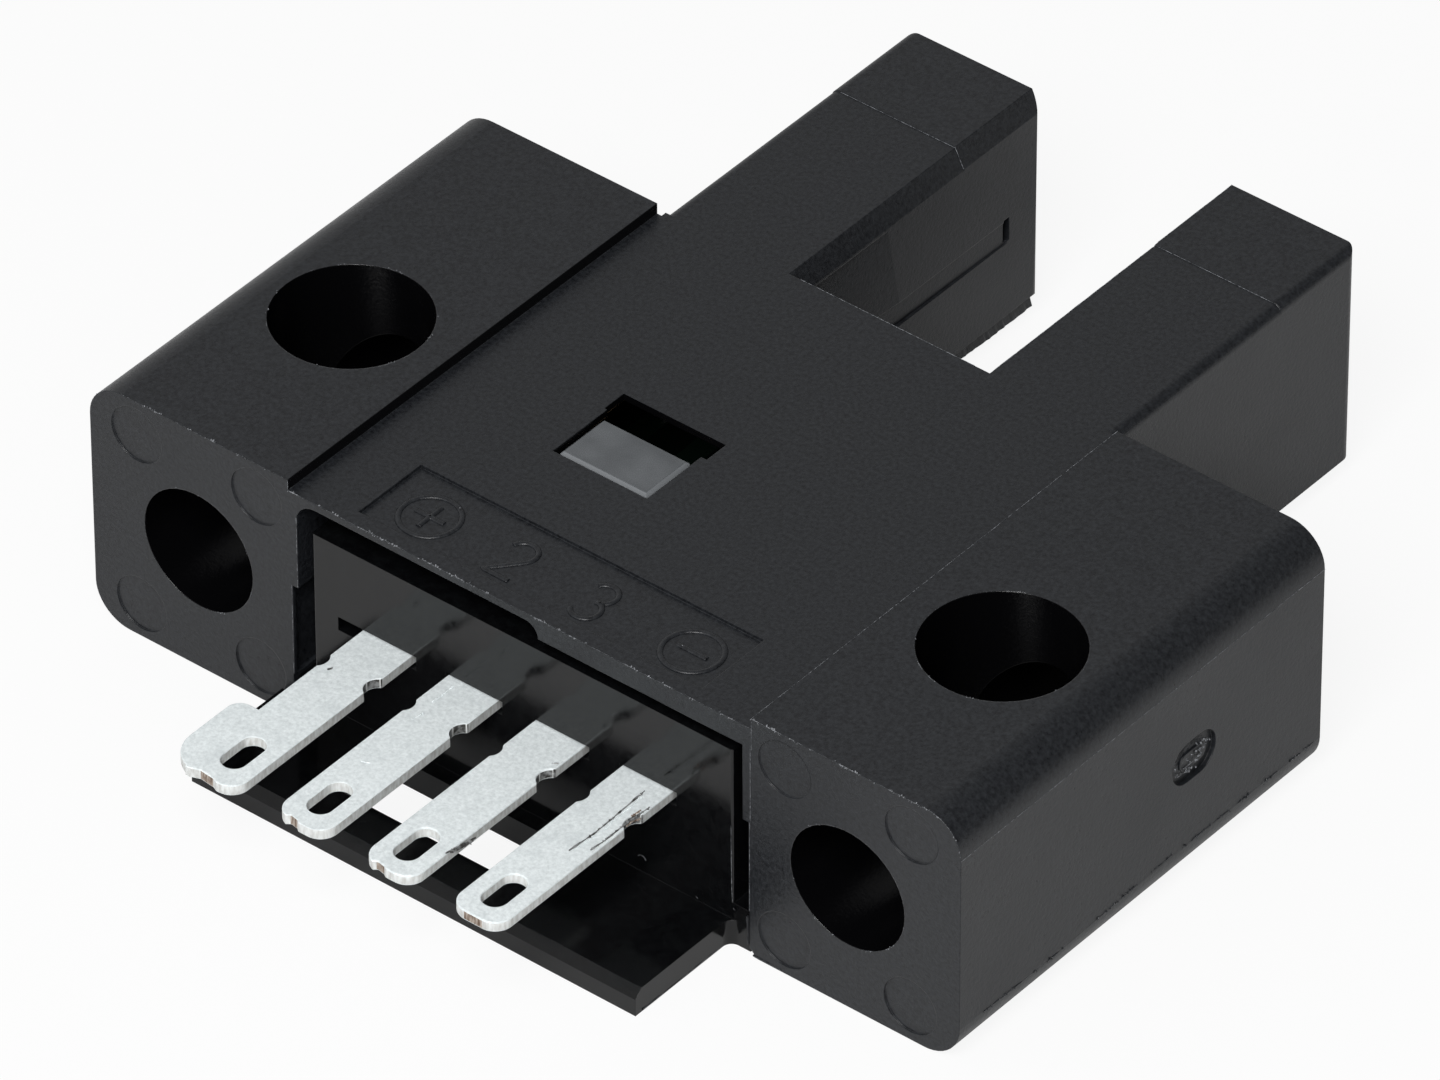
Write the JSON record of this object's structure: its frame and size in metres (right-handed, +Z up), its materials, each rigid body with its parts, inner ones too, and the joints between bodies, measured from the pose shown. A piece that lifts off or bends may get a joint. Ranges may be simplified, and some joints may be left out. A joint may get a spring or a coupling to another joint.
{
  "type": "photo interrupter",
  "caption": "Slot-type optical sensor: black fork housing with screw flanges, flat solder terminals over a latch tongue, and a small indicator window.",
  "frame": {"origin": "middle of the two vertical screw holes, on the base face that the flanges stand on", "axes": "+X along the two flanges, +Y towards the fork tips, +Z up out of the marked top"},
  "size_m": [0.0254, 0.0284, 0.0069],
  "materials": {
    "black_moulding": "fine matt black moulded thermoplastic",
    "gloss_black": "glossy black moulded thermoplastic",
    "tinned": "satin tin plating over copper alloy",
    "smoky_lens": "smoky grey translucent plastic",
    "board": "green solder-resist laminate",
    "emitter_resin": "pale clear resin",
    "detector_resin": "dark infrared-pass resin",
    "led_resin": "pale diffuse resin",
    "chip_black": "black moulding compound",
    "chip_tan": "tan ceramic body"
  },
  "bodies": {
    "root": {"housing": "black_moulding", "terminal_holder": "gloss_black", "terminal_supply": "tinned", "terminal_mode": "tinned", "terminal_output": "tinned", "terminal_ground": "tinned", "indicator_window": "smoky_lens", "circuit_board": "board", "infrared_emitter": "emitter_resin", "emitter_leads": "tinned", "photodetector": "detector_resin", "detector_leads": "tinned", "indicator_led": "led_resin", "output_transistor": "chip_black", "transistor_leads": "tinned", "emitter_resistor": "chip_black", "indicator_resistor": "chip_black", "bypass_capacitor": "chip_tan"}
  },
  "joints": []
}
